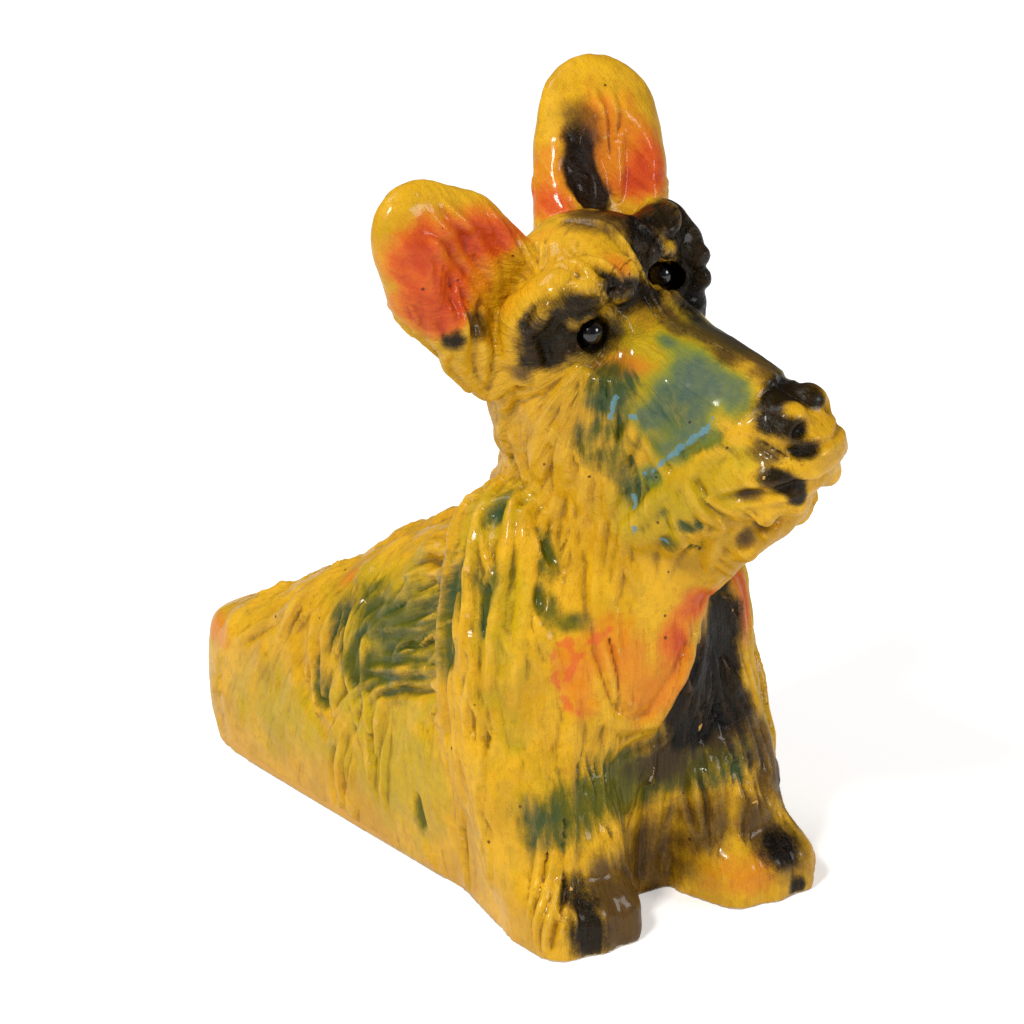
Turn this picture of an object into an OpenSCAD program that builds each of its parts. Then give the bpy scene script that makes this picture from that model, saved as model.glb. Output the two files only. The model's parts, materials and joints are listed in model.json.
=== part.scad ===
// Chalkware terrier: a hollow plaster figure, cast in two halves and joined along the parting line.
// Millimetres. The dog faces -Y, its left side is +X, and it stands on z = 0.
// The origin is on the base, under the middle of the trunk.

/* [Trunk] */
// Distance from the origin back to the end of the rump
rump_y = 57; // [50:1:70]
// Distance from the origin forward to the front of the breast
breast_y = 50; // [44:1:56]
// Width of the rump block at the base
rump_w = 46.5; // [40:0.5:56]
// Height of the flat rump block above the base
rump_h = 21.5; // [14:0.5:26]
// Height of the spine at the withers
withers_h = 54; // [48:1:62]
// Width of the neck under the ears
neck_w = 28; // [25:1:33]
// Wall thickness of the plaster casting
wall = 6; // [4.5:0.5:8]

/* [Forelegs] */
// Distance from the mid-plane to the middle of each foreleg
leg_x = 16; // [13:0.5:19]
// Thickness of the upper foreleg
leg_d = 23; // [19:0.5:27]
// Distance from the origin forward to the toe tips
toe_y = 59.5; // [54:0.5:64]
// Width of one paw over its three toes
paw_w = 19.5; // [17:0.5:24]
// Thickness of one toe
toe_d = 9.5; // [7:0.5:12]

/* [Head] */
// Height of the neck joint that the head turns on
head_z = 80; // [74:0.5:88]
// Turn of the head towards the dog's left, degrees
head_turn = 24; // [0:1:40]
// Lean of the head towards the dog's right, degrees
head_roll = 9; // [0:1:12]
// Width of the skull at the eyes
skull_w = 33; // [28:0.5:38]
// Height of the skull above the neck joint
skull_h = 30.5; // [26:0.5:34]
// Distance from the neck joint forward to the nose
muzzle_l = 43.5; // [38:0.5:48]
// Width of the muzzle
muzzle_w = 24.5; // [21:0.5:30]
// Depth of the beard below the neck joint
beard_h = 30; // [22:0.5:36]

/* [Ears] */
// Length of the ear from its root to its tip
ear_l = 31.5; // [22:0.5:38]
// Width of the ear
ear_w = 24; // [18:0.5:28]
// Depth of the hollow in the ear
ear_cup = 6; // [3:0.5:8]
// Spread of the ear out from the skull, degrees
ear_out = 33; // [20:1:45]
// Lean of the ear to the back, degrees
ear_back = 15; // [0:1:35]
// Turn of both ears back to the front of the dog, degrees
ear_turn = 20; // [0:1:40]

/* [Eyes] */
// Diameter of the eye bead
eye_d = 4.2; // [3:0.1:6]
// Distance between the two eyes
eye_gap = 22; // [19:0.5:25]
// Width of the groove round the bead
eye_groove = 0.9; // [0.5:0.1:1.5]

/* [Coat] */
// Length of one lock of the coat
lock_l = 14; // [10:0.5:18]
// Thickness of one lock at its middle
lock_d = 9; // [6:0.25:11]
// Height that the locks stand above the trunk
lock_rise = 0.9; // [0.5:0.1:1.6]

/* [Inside] */
// Thickness of the slip bead behind the join
slip_t = 2; // [1:0.25:3]
// Width of the slip bead
slip_w = 9; // [6:0.5:14]
// Thickness of the closing slab
plug_t = 6; // [4:0.5:9]
// Depth of the closing slab above the standing face
plug_recess = 0; // [0:0.1:1.5]

/* [Hidden] */

// Points round an outer section and round an inner one, and steps between the sections
RING = 36;
RING_IN = 24;
STEPS = 2;
// Points round a limb and round a lock
FN = 12;
LOCK_FN = 6;

// Place of the neck joint, over the forelegs
neck_y = -(breast_y - 19.5);
// Half of the neck, and its depth from front to back
neck_r = neck_w / 2;
// Where the spine meets the neck
withers_y = neck_y + neck_r + 7;
// Clearances: of the closing slab, of the slip bead and of the eye beads
plug_fit = 0.3;
slip_fit = 0.2;
eye_fit = 0.15;
// Largest reach of any cutting solid
far = 150;

// Signed power, which makes a round section square
function spow(v, p) = sign(v) * pow(abs(v), p);

// Cubic curve through the stations st, at the step t
function station(st, i) = st[max(0, min(len(st) - 1, i))];
function cubic(a, b, c, d, u) =
    0.5 * (2 * b + (c - a) * u + (2 * a - 5 * b + 4 * c - d) * u * u + (3 * b - a - 3 * c + d) * u * u * u);
function along(st, t) =
    let (i = min(floor(t), len(st) - 2))
    cubic(station(st, i - 1), station(st, i), station(st, i + 1), station(st, i + 2), t - i);
function steps(st, n = STEPS) = [for (k = [0 : (len(st) - 1) * n]) along(st, k / n)];

// A solid through closed rings, each of which turns anticlockwise as seen from the last one
module loft(rings) {
    n = len(rings[0]);
    m = len(rings);
    polyhedron(
        points = [for (r = rings) for (p = r) p],
        faces = concat(
            [[for (i = [0 : n - 1]) i]],
            [for (k = [0 : m - 2], i = [0 : n - 1]) let (j = (i + 1) % n)
                each [[k * n + i, (k + 1) * n + i, (k + 1) * n + j], [k * n + i, (k + 1) * n + j, k * n + j]]],
            [[for (i = [n - 1 : -1 : 0]) (m - 1) * n + i]]),
        convexity = 6);
}

// Mirrors a form to both sides of the dog
module both() { for (s = [-1, 1]) scale([s, 1, 1]) children(); }

// A ball at a place, the joint of every limb and lock
module ball(p, r) translate(p) sphere(r, $fn = FN);

// A limb or lock that swells and tapers through balls [place, radius]
module limb(b) for (i = [0 : len(b) - 2]) hull() { ball(b[i][0], b[i][1]); ball(b[i + 1][0], b[i + 1][1]); }

// Trunk: level sections [height, rear, front, place of the widest point, half width, squareness]
function spine(f, arch = 1.5) = rump_y - 1.5 - (rump_y - 1.5 - withers_y) * f + arch * sin(180 * f);
function trunk_stations() = let (rise = withers_h + 4 - rump_h) [
    [0, rump_y - 1, -breast_y + 6, 14, rump_w / 2 - 1.3, 6],
    [rump_h * 0.5, rump_y, -breast_y + 4.5, 12, rump_w / 2 + 0.3, 6],
    [rump_h - 1, rump_y, -breast_y + 3, 10, rump_w / 2 - 0.5, 6],
    [rump_h + rise * 0.05, rump_y - 3, -breast_y + 3, 7, rump_w / 2 - 1, 5],
    [rump_h + rise * 0.2, spine(0.22), -breast_y + 2, 0, rump_w / 2 - 1.8, 4],
    [rump_h + rise * 0.42, spine(0.43), -breast_y, -10, rump_w / 2 - 3.4, 3.2],
    [rump_h + rise * 0.65, spine(0.66), -breast_y - 0.5, -20, rump_w / 2 - 5, 2.6],
    [rump_h + rise * 0.85, spine(0.86), -breast_y + 1, neck_y + 3, rump_w / 2 - 6.5, 2.3],
    [withers_h + 5, withers_y, -breast_y + 3, neck_y, neck_r, 2.2],
    [head_z - 9, neck_y + neck_r + 1.5, neck_y - neck_r + 1, neck_y, neck_r - 1, 2.1],
    [head_z + 3, neck_y + neck_r, neck_y - neck_r + 2, neck_y, neck_r - 1.5, 2.1]];
function trunk_ring(s, inset, lift, n = RING_IN) = [for (i = [0 : n - 1])
    let (a = 360 * i / n, y = sin(a) > 0 ? s[1] - s[3] - inset : s[3] - s[2] - inset)
    [(s[4] - inset) * spow(cos(a), 2 / s[5]), s[3] + y * spow(sin(a), 2 / s[5]), s[0] - lift]];
module trunk() loft([for (s = steps(trunk_stations())) trunk_ring(s, 0, 0, RING)]);

// Foreleg from the shoulder down to the toes, and the haunch behind it
// Level sections [height, middle across, middle along, radius]
function leg_stations() = let (r = leg_d / 2) [
    [11, leg_x - 0.5, neck_y - 12, r], [28, leg_x - 1, neck_y - 4, r + 1.5],
    [44, leg_x - 3, neck_y - 1, r + 2.5], [56, leg_x - 5, neck_y + 2, r + 1]];
// A place on the foreleg: a is how far round it, from its outside towards the tail
function shank(z, a, out) = let (s = section(leg_stations(), z))
    [s[1] + (s[3] + out) * cos(a), s[2] + (s[3] + out) * sin(a), z];
module leg() {
    leg_r = leg_d / 2;
    toe_r = toe_d / 2;
    foot_x = leg_x + 1.2;
    limb([for (s = leg_stations()) [[s[1], s[2], s[0]], s[3]]]);
    hull() {
        ball([leg_x - 1, neck_y - 4, 26], leg_r - 1);
        ball([foot_x - 3, neck_y + 2, 4], leg_r - 2.5);
        ball([foot_x - 1, -toe_y + 17, 5], leg_r - 2.5);
        translate([foot_x - 1, -toe_y + 17, 0]) cylinder(4, leg_r - 2.2, leg_r - 2.2, $fn = FN);
    }
    for (k = [-1 : 1]) hull() {
        ball([foot_x - 1 + k * 2.5, -toe_y + 13, 6.5], toe_r + 3.6);
        translate([foot_x - 1 + k * 2.5, -toe_y + 13, 0]) cylinder(4, toe_r + 3.2, toe_r + 3.4, $fn = FN);
        ball([foot_x + k * (paw_w - toe_d) / 2, -toe_y + toe_r + 0.6 + abs(k) * 0.6, toe_r - 0.6], toe_r);
        translate([foot_x + k * (paw_w - toe_d) / 2, -toe_y + toe_r + abs(k) * 0.6, 0])
            cylinder(1.5, toe_r - 0.4, toe_r - 0.2, $fn = FN);
    }
}

// Head, in its own frame: forward is -Y and the neck joint is at the origin
// Upright sections [reach forward, top, bottom, height of the widest point, half width, squareness]
function head_stations() = let (w = skull_w / 2, m = muzzle_w / 2, h = skull_h, l = muzzle_l, b = -beard_h) [
    [-14.5, 10, -4, 2, 6.5, 2.2],
    [-12.5, h - 12, -9, 4, 11, 2.3],
    [-8, h - 2.5, -16, 7, w - 3, 2.3],
    [-2, h, -25, 9, w - 1, 2.4],
    [6, h, b, 7, w, 2.6],
    [10.5, h - 7, b - 1, 4, w - 1.2, 2.7],
    [l * 0.33, h - 14.3, b - 1, 0, m + 1.5, 2.8],
    [l * 0.5, h - 16.4, b + 2.5, -3, m - 0.8, 2.5],
    [l * 0.62, h - 18.4, b + 7.5, -3, m - 1.8, 2.4],
    [l * 0.72, h - 20.8, b + 14, -2.5, m - 2.6, 2.3],
    [l * 0.82, h - 23.3, b + 18.5, -2.5, m - 3.6, 2.3],
    [l * 0.91, h - 26, b + 22, -2.5, m - 5, 2.3],
    [l * 0.97, h - 28, b + 25, -1, m - 7, 2.3],
    [l, h - 30, b + 27.5, -1.2, m - 9.5, 2.2]];
function head_ring(s, inset) = [for (i = [0 : RING - 1])
    let (a = 360 * i / RING, z = sin(a) > 0 ? s[1] - s[3] - inset : s[3] - s[2] - inset)
    [(s[4] - inset) * spow(cos(a), 2 / s[5]), -s[0], s[3] + z * spow(sin(a), 2 / s[5])]];
module in_head() translate([0, neck_y, head_z]) rotate([0, 0, head_turn]) rotate([0, -head_roll, 0]) children();

// A place on the face [side, forward, up]
function face(x, f, u) = [x, -f, u];
// Middle of an eye bead, and of the hollow that it sits at the bottom of
function eye_at(side) = face(side * eye_gap / 2, 7.5, skull_h - 12.5);
function hollow_at(side) = eye_at(side) + face(side * 3.2, 5.8, 0.8);

// Brow: curled tufts over and beside each eye, fuller on the dog's left
module brow(side) {
    out = side > 0 ? 2 : 0;
    limb([[face(side * 4.5, 8.5, skull_h - 6), 3.8], [face(side * 9, 7.3, skull_h - 5.4), 4.4],
          [face(side * (13 + out), 3.5 + out, skull_h - 6.5), 4.8]]);
    limb([[face(side * (13 + out), 3.5 + out, skull_h - 6.5), 4.8],
          [face(side * 15.3, out * 4.5 - 1, skull_h - 9.5), 4.3 + out / 4],
          [face(side * 15.3, out * 4.5 - 2, skull_h - 15), 4.1 + out / 4],
          [face(side * 14.6, out * 4.5 + 1, skull_h - 19), 3.3]]);
}

// Muzzle: bridge, nose pad, upper lip, moustache that hangs over the beard, lower lip and beard
module muzzle(side) {
    l = muzzle_l;
    limb([[face(0, l * 0.3, skull_h - 18), 4], [face(0, l * 0.7, skull_h - 23), 3.6]]);
    limb([[face(side * 2, l - 6.8, skull_h - 28.2), 3.9], [face(side * 2.8, l - 4.2, skull_h - 30.5), 3.4]]);
    limb([[face(side * 3.5, l - 5, -3), 4.2], [face(side * 6.5, l - 9, -3.5), 5],
          [face(side * (muzzle_w / 2 - 5), l - 19, -7.5), 7], [face(side * (muzzle_w / 2 - 5), l - 30, -13.5), 8]]);
    limb([[face(0, l - 9, -11), 3.2], [face(side * 2.5, l - 11, -13.5), 3.6], [face(side * 3.2, l - 17.5, -17.5), 4.4],
          [face(side * 4, l - 24, -beard_h + 6.8), 5], [face(side * 6.5, l - 32, -beard_h + 5.8), 6]]);
}

// Ear: a thick leaf, hollowed at the front, with a fold down the middle of the hollow
module ear_frame(side) translate(face(side * 12.3, -6 + side * 2, skull_h - 11.5)) rotate([-ear_back, 0, 0])
    rotate([0, side * ear_out, 0]) rotate([0, 0, -ear_turn]) children();
module leaf(w, d, l, tip) hull() {
    translate([0, 0, -4]) scale([w, d, w]) sphere(0.5, $fn = 20);
    translate([0, 0.5, l * 0.45]) scale([w * 1.02, d * 0.95, w * 0.9]) sphere(0.5, $fn = 20);
    translate([0, 1, l - tip * 0.5]) scale([tip, d * 0.6, tip]) sphere(0.5, $fn = 20);
}
module ear(side) ear_frame(side) {
    tip = ear_w * (side > 0 ? 0.96 : 0.68);
    difference() {
        leaf(ear_w, 13, ear_l + side, tip);
        translate([0, -ear_cup - 2.5, 2]) leaf(ear_w - 6, 12, ear_l + side - 5, tip - 5);
    }
    limb([[[-1, -0.5, 1], 2.4], [[0, 0.5, ear_l * 0.5], 1.8], [[0.5, 1, ear_l * 0.8], 1]]);
}

module head() {
    difference() {
        loft([for (s = steps(head_stations())) head_ring(s, 0)]);
        for (side = [-1, 1]) translate(hollow_at(side)) sphere(6.8, $fn = 18);
    }
    both() whiskers();
    for (side = [-1, 1]) { brow(side); muzzle(side); ear(side); }
}

// Breast: the bib of hair that hangs from the beard between the forelegs
module bib() {
    limb([[[3, neck_y - 9, 56], 12], [[1, neck_y - 10, 42], 11],
          [[0, neck_y - 8, 27], 9.5], [[0, neck_y - 8, 8], 7]]);
    hull() {
        ball([-leg_x + 3, neck_y - 1, 47], leg_d / 2 + 1.5);
        ball([-1, neck_y - 9, 47], 11);
        ball([-leg_x + 1, neck_y - 5, 25], leg_d / 2 + 1);
        ball([-4, neck_y - 7.5, 30], 9.5);
    }
}

// A place on a lofted skin: v is how far along its widest line, from -1 to 1, out stands off the skin
function bulge(v, n) = pow(max(0, 1 - pow(abs(v), n)), 1 / n);
// The section at a height of the trunk, or at a reach of the head
function section(st, q) = along(st, lookup(q, [for (i = [0 : len(st) - 1]) [st[i][0], i]]));
function flank(y, z, out) = let (s = section(trunk_stations(), z))
    [s[4] * bulge((y - s[3]) / (y > s[3] ? s[1] - s[3] : s[3] - s[2]), s[5]) + out, y, z];
function cheek(f, u, out) = let (s = section(head_stations(), f))
    face(s[4] * bulge((u - s[3]) / (u > s[3] ? s[1] - s[3] : s[3] - s[2]), s[5]) + out, f, u);

// Coat: locks that hang from the spine over the flanks, and from the eyes over the cheeks
module lock(p, m, q) hull() {
    translate(p) sphere(lock_d / 5, $fn = LOCK_FN);
    translate(m) sphere(lock_d / 2, $fn = LOCK_FN + 4);
    translate(q) sphere(lock_d / 5, $fn = LOCK_FN);
}
strand_r = 2.6;
strand_rise = 1.1;
swell = lock_rise - lock_d / 2;
tip = lock_rise / 2 - lock_d / 5;
function ridge(z, out) = [0, section(trunk_stations(), z)[1] + out, z];
// A strand that hangs down the outside of the foreleg
module strand(a) for (z = [20 : 12 : 44]) hull() for (k = [0, 12])
    translate(shank(z + k, a, strand_rise - strand_r)) sphere(strand_r, $fn = LOCK_FN + 2);
module coat() {
    for (a = [-16, 24]) strand(a);
    for (z = [rump_h + 19 : 6.5 : withers_h]) lock(ridge(z + 4, tip), ridge(z, swell - 0.5), ridge(z - 5, tip));
    for (row = [0 : 3]) let (z = rump_h + row * 9, back = section(trunk_stations(), z)[1])
        for (y = [-14 + row % 2 * 5 : lock_l * 0.8 : back - 12])
            lock(flank(y - 1, z + lock_l * 0.5, tip), flank(y + 1, z, swell),
                 flank(y + lock_l * 0.4, z - lock_l * 0.5, tip));
}
module whiskers() for (k = [0 : 3])
    lock(cheek(k * 5 - 6, 6 + k * 1.5, tip), cheek(k * 5 - 6, -1 + k, swell), cheek(k * 5.4 - 5, -12 + k, tip));

// Outer form of the whole figure, level on its base
module figure() intersection() {
    union() {
        trunk();
        both() { coat(); leg(); }
        bib();
        in_head() head();
    }
    translate([-far, -far, 0]) cube(2 * far);
}

// Pour opening, straight-sided in the standing face, with the slab in it
seat_z = plug_recess + plug_t + plug_fit;
function pour_outline(fit) = [for (p = trunk_ring(trunk_stations()[0], wall + 1 + fit, 0)) [p[0], p[1]]];

// Hollow of the casting, drawn in by a further inset
module hollow(inset = 0) {
    intersection() {
        loft([for (s = steps(trunk_stations(), 1)) trunk_ring(s, wall + inset, wall / 2 + inset)]);
        translate([-far, -far, seat_z + inset]) cube(2 * far);
    }
    in_head() limb([[face(0, 1, -16), 9 - inset], [face(0, 1, -8), 9.2 - inset], [face(0, 1, 4), 9.5 - inset],
                    [face(0, 3, 12), 9 - inset], [face(0, 12, -4), 7 - inset], [face(0, 20, -8), 6 - inset]]);
}

// Parting volume: all that lies to the dog's right of the parting line. The line runs down the spine and between
// the forelegs, and follows the turn and lean of the head over the skull and down the face and beard.
// Levels [height, share of the head's pose at the back, share at the front]
function parting_levels() = [[-1, 0, 0], [head_z - beard_h - 16, 0, 0], [head_z - beard_h - 2, 0, 1],
    [head_z - 15, 0, 1], [head_z - 3, 1, 1], [head_z + far, 1, 1]];
function parting_shift(z, share) = -share * tan(head_roll) * (z - head_z) * [cos(head_turn), sin(head_turn)];
function parting_ring(v) = let (z = v[0], b = v[1] * head_turn, f = v[2] * head_turn,
        pb = parting_shift(z, v[1]), pf = parting_shift(z, v[2]))
    [for (p = [pb, pb + far * [-sin(b), cos(b)], [-far, far], [-far, -far], pf + far * [sin(f), -cos(f)], pf])
        [p[0], p[1] + neck_y, z]];
module right_side(dx = 0) translate([dx, 0, 0]) loft([for (v = parting_levels()) parting_ring(v)]);

// Eye bead in its socket
module socket(side) in_head() {
    translate(eye_at(side)) sphere(eye_d / 2 + eye_fit, $fn = 18);
    translate(eye_at(side) + face(side * 0.5, 1, 0.15) * eye_d / 4) sphere(eye_d / 2 + eye_groove, $fn = 16);
}

// The whole casting, before it is parted
module casting() difference() {
    figure();
    hollow();
    translate([0, 0, -1]) linear_extrude(seat_z + 1.5) polygon(pour_outline(0));
    for (side = [-1, 1]) socket(side);
}

module right_half_shell() color("goldenrod") intersection() { casting(); right_side(); }

module left_half_shell() color("gold") difference() { casting(); right_side(); }

module seam_slip() color("white") intersection() {
    difference() { hollow(slip_fit); hollow(slip_fit + slip_t); }
    difference() { right_side(slip_w / 2); right_side(-slip_w / 2); }
}

module base_plug() color("ivory") translate([0, 0, plug_recess])
    linear_extrude(plug_t) polygon(pour_outline(plug_fit));

module eye(side) color("black") in_head() translate(eye_at(side)) sphere(d = eye_d, $fn = 24);
module right_eye() eye(-1);
module left_eye() eye(1);

right_half_shell();
left_half_shell();
seam_slip();
base_plug();
right_eye();
left_eye();
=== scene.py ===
# Looks for the painted chalkware terrier, built round its packed casting.
# Lengths inside the functions are millimetres on the figure: the dog faces -Y and stands on z = 0.
import json
import math

import bmesh
import bpy
import numpy as np
from mathutils import Matrix, Vector
from mathutils.kdtree import KDTree

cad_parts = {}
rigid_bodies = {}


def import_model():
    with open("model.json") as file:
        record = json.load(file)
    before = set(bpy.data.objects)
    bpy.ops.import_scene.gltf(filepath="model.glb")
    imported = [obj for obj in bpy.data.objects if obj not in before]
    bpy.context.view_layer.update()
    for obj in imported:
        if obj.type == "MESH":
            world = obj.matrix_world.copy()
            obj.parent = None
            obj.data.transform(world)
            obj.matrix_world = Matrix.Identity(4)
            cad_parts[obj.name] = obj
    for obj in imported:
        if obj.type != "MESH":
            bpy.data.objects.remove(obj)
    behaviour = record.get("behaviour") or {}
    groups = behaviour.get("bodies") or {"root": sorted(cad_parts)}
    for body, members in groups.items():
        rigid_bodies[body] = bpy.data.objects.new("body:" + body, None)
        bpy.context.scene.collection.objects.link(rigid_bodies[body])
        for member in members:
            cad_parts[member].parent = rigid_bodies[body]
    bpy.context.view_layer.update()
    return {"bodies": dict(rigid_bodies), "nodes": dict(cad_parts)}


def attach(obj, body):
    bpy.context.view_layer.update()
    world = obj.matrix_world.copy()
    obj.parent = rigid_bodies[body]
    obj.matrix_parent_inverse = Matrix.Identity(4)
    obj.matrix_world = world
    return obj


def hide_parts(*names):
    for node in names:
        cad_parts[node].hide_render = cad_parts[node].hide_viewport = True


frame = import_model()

MM = 0.001
body = next(iter(frame["bodies"]))
scene = bpy.context.scene
dice = np.random.default_rng(1937)

# The values of the figure that the casting is drawn from
BREAST_Y = 50
LEG_X, LEG_D, TOE_Y, PAW_W, TOE_D = 16, 23, 59.5, 19.5, 9.5
HEAD_Z, HEAD_TURN, HEAD_ROLL = 80, 24, 9
SKULL_H, MUZZLE_L, MUZZLE_W, BEARD_H = 30.5, 43.5, 24.5, 30
EYE_D, EYE_GAP, EYE_GROOVE, EYE_FIT = 4.2, 22, 0.9, 0.15
EYE_FORWARD, EYE_UP = 7.5, SKULL_H - 12.5
NECK_Y = 19.5 - BREAST_Y
HEAD = (
    Matrix.Translation((0, NECK_Y, HEAD_Z))
    @ Matrix.Rotation(math.radians(HEAD_TURN), 4, "Z")
    @ Matrix.Rotation(math.radians(-HEAD_ROLL), 4, "Y")
)
HEAD_BACK = HEAD.inverted()

# Size of the modelled clay grain, and how far a blended crease reaches, in passes
GRAIN = 0.5
BLEND_PASSES = 14
# How finely a stroke follows the skin
PATH_STEP = 0.35
# Passes that level the skin out to find its relief, and how strongly the relief counts
LEVEL_PASSES, RELIEF_GAIN = 24, 2.2
# How a puff of paint fades with distance, and how fast puffs build up to full paint
PUFF_FADE, PUFF_EDGE, BUILD_UP = 1.3, 2.4, 1.7
# Edges sharper than this stay sharp
SMOOTH_ANGLE = math.radians(55)


def face(side, forward, up):
    """A place on the head: to the dog's left, towards the nose, and up from the neck joint."""
    return HEAD @ Vector((side, -forward, up))


def eye_at(side):
    return face(side * EYE_GAP / 2, EYE_FORWARD, EYE_UP)


def off_eyes(co):
    """How far places are from the nearer eye."""
    return np.minimum(*[np.linalg.norm(co - np.array(eye_at(side)), axis=1) for side in (-1, 1)])


def smooth(x, lo, hi):
    """From 0 at lo to 1 at hi, with soft ends."""
    t = np.clip((x - lo) / (hi - lo), 0, 1)
    return t * t * (3 - 2 * t)


def only(*objects):
    """Selects these objects and nothing else."""
    bpy.ops.object.select_all(action="DESELECT")
    for ob in objects:
        ob.select_set(True)
    bpy.context.view_layer.objects.active = objects[0]


def apply(ob, kind, **settings):
    """One modifier, set and applied."""
    mod = ob.modifiers.new(kind.lower(), kind)
    for key, value in settings.items():
        setattr(mod, key, value)
    only(ob)
    bpy.ops.object.modifier_apply(modifier=mod.name)


def carve(ob, tool, operation):
    """One boolean with a tool that is used up."""
    apply(ob, "BOOLEAN", object=tool, operation=operation, solver="MANIFOLD")
    bpy.data.objects.remove(tool)


def points_of(ob):
    """The piece's points and their normals, in millimetres."""
    n = len(ob.data.vertices)
    co, no = np.empty(n * 3, np.float32), np.empty(n * 3, np.float32)
    ob.data.vertices.foreach_get("co", co)
    ob.data.vertices.foreach_get("normal", no)
    return co.reshape(-1, 3).astype(float) / MM, no.reshape(-1, 3).astype(float)


def put_points(ob, co):
    ob.data.vertices.foreach_set("co", (co * MM).astype(np.float32).ravel())
    ob.data.update()


def new_mesh(name, points, faces):
    mesh = bpy.data.meshes.new(name)
    mesh.from_pydata([tuple(c * MM for c in p) for p in points], [], [tuple(f) for f in faces])
    ob = bpy.data.objects.new(name, mesh)
    scene.collection.objects.link(ob)
    return ob


def half_copy(node):
    """A working copy of one cast half, with its doubled points merged."""
    mesh = frame["nodes"][node].data.copy()
    work = bmesh.new()
    work.from_mesh(mesh)
    bmesh.ops.remove_doubles(work, verts=work.verts, dist=1e-7)
    work.to_mesh(mesh)
    work.free()
    ob = bpy.data.objects.new(node + "_work", mesh)
    scene.collection.objects.link(ob)
    return ob


# The casting as one: its outer skin, closed below, and its hollow, open below
def split_skins():
    whole, partner = half_copy("right_half_shell"), half_copy("left_half_shell")
    # a hair of overlap closes the join
    partner.location.x = -0.02 * MM
    bpy.context.view_layer.update()
    carve(whole, partner, "UNION")
    work = bmesh.new()
    work.from_mesh(whole.data)
    flat = [f for f in work.faces if f.calc_center_median().z < 0.02 * MM and f.normal.z < -0.9]
    bmesh.ops.delete(work, geom=flat, context="FACES")
    work.to_mesh(whole.data)
    work.free()
    only(whole)
    bpy.ops.object.mode_set(mode="EDIT")
    bpy.ops.mesh.separate(type="LOOSE")
    bpy.ops.object.mode_set(mode="OBJECT")
    skin, hollow = sorted(bpy.context.selected_objects, key=lambda o: -o.dimensions.z)
    for ob, drop in ((skin, 0), (hollow, 1.0)):
        only(ob)
        bpy.ops.object.mode_set(mode="EDIT")
        bpy.ops.mesh.select_mode(type="EDGE")
        bpy.ops.mesh.select_all(action="SELECT")
        if drop:
            bpy.ops.mesh.flip_normals()
            bpy.ops.mesh.select_all(action="DESELECT")
            bpy.ops.mesh.select_non_manifold()
            bpy.ops.mesh.extrude_region_move(TRANSFORM_OT_translate={"value": (0, 0, -drop * MM)})
        bpy.ops.mesh.select_all(action="SELECT")
        bpy.ops.mesh.fill_holes(sides=0)
        bpy.ops.object.mode_set(mode="OBJECT")
    return skin, hollow


def beads_between(balls, pack=0.16):
    """Balls [place, radius] filled in along a limb, so that it tapers smoothly."""
    out = []
    for (a, ra), (b, rb) in zip(balls, balls[1:]):
        a, b = Vector(a), Vector(b)
        n = max(2, int((b - a).length / (pack * (ra + rb) / 2)) + 1)
        out += [(a.lerp(b, k / n), ra + (rb - ra) * k / n) for k in range(n)]
    return out + [(Vector(balls[-1][0]), balls[-1][1])]


def clay(name, beads, fineness=3):
    """One lump of clay out of balls: a ball is modelled once, and each copy is set to its size and place."""
    bpy.ops.object.select_all(action="DESELECT")
    bpy.ops.mesh.primitive_ico_sphere_add(subdivisions=fineness, radius=1, location=(0, 0, 0))
    ball = bpy.context.object
    co = np.array([v.co for v in ball.data.vertices])
    tri = np.array([p.vertices[:] for p in ball.data.polygons])
    bpy.data.objects.remove(ball)
    points = np.concatenate([co * r + np.array(p) for p, r in beads])
    faces = np.concatenate([tri + k * len(co) for k in range(len(beads))])
    return new_mesh(name, points, faces)


def both(make):
    return [bead for side in (-1, 1) for bead in make(side)]


def legs(side):
    r, toe, foot = LEG_D / 2, TOE_D / 2, LEG_X + 1.2

    def at(x, y, z):
        return (side * x, y, z)

    beads = beads_between([
        (at(LEG_X - 5, NECK_Y + 2, 56), r + 1), (at(LEG_X - 3, NECK_Y - 1, 44), r + 2.4),
        (at(LEG_X - 1, NECK_Y - 4, 28), r + 1.5), (at(LEG_X - 0.5, NECK_Y - 12, 11), r)])
    for k in (-1, 0, 1):
        beads += beads_between([
            (at(foot - 1 + k * 2.5, 13 - TOE_Y, 6.5), toe + 3.6),
            (at(foot + k * (PAW_W - TOE_D) / 2, toe + 0.8 + abs(k) * 0.6 - TOE_Y, toe - 0.4), toe)])
    return beads


def muzzle(side):
    l, h, w = MUZZLE_L, SKULL_H, MUZZLE_W

    def at(x, f, u):
        return face(side * x, f, u)

    return (
        beads_between([(at(2, l - 6.8, h - 28.2), 3.9), (at(2.8, l - 4.2, h - 30.5), 3.4)])
        + beads_between([(at(3.5, l - 5, -3), 4.2), (at(6.5, l - 9, -3.5), 5), (at(w / 2 - 5, l - 19, -7.5), 7),
                         (at(w / 2 - 5, l - 30, -13.5), 8)])
        + beads_between([(at(0, l - 9, -11), 3.2), (at(2.5, l - 11, -13.5), 3.6),
                         (at(3.2, l - 17.5, -17.5), 4.4), (at(4, l - 24, 6.8 - BEARD_H), 5),
                         (at(6.5, l - 32, 5.8 - BEARD_H), 6)]))


def brows(side):
    out = 2 if side > 0 else 0

    def at(x, f, u):
        return face(side * x, f, SKULL_H + u)

    return (
        beads_between([(at(4.5, 8.5, -6), 3.8), (at(9, 7.3, -5.4), 4.3), (at(13 + out, 3.5 + out, -6.5), 4.6)])
        + beads_between([(at(13 + out, 3.5 + out, -6.5), 4.6), (at(15.3, out * 4.5 - 1, -9.5), 4.2 + out / 4),
                         (at(15.3, out * 4.5 - 2, -15), 4 + out / 4), (at(14.6, out * 4.5 + 1, -19), 3.2)]))


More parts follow.
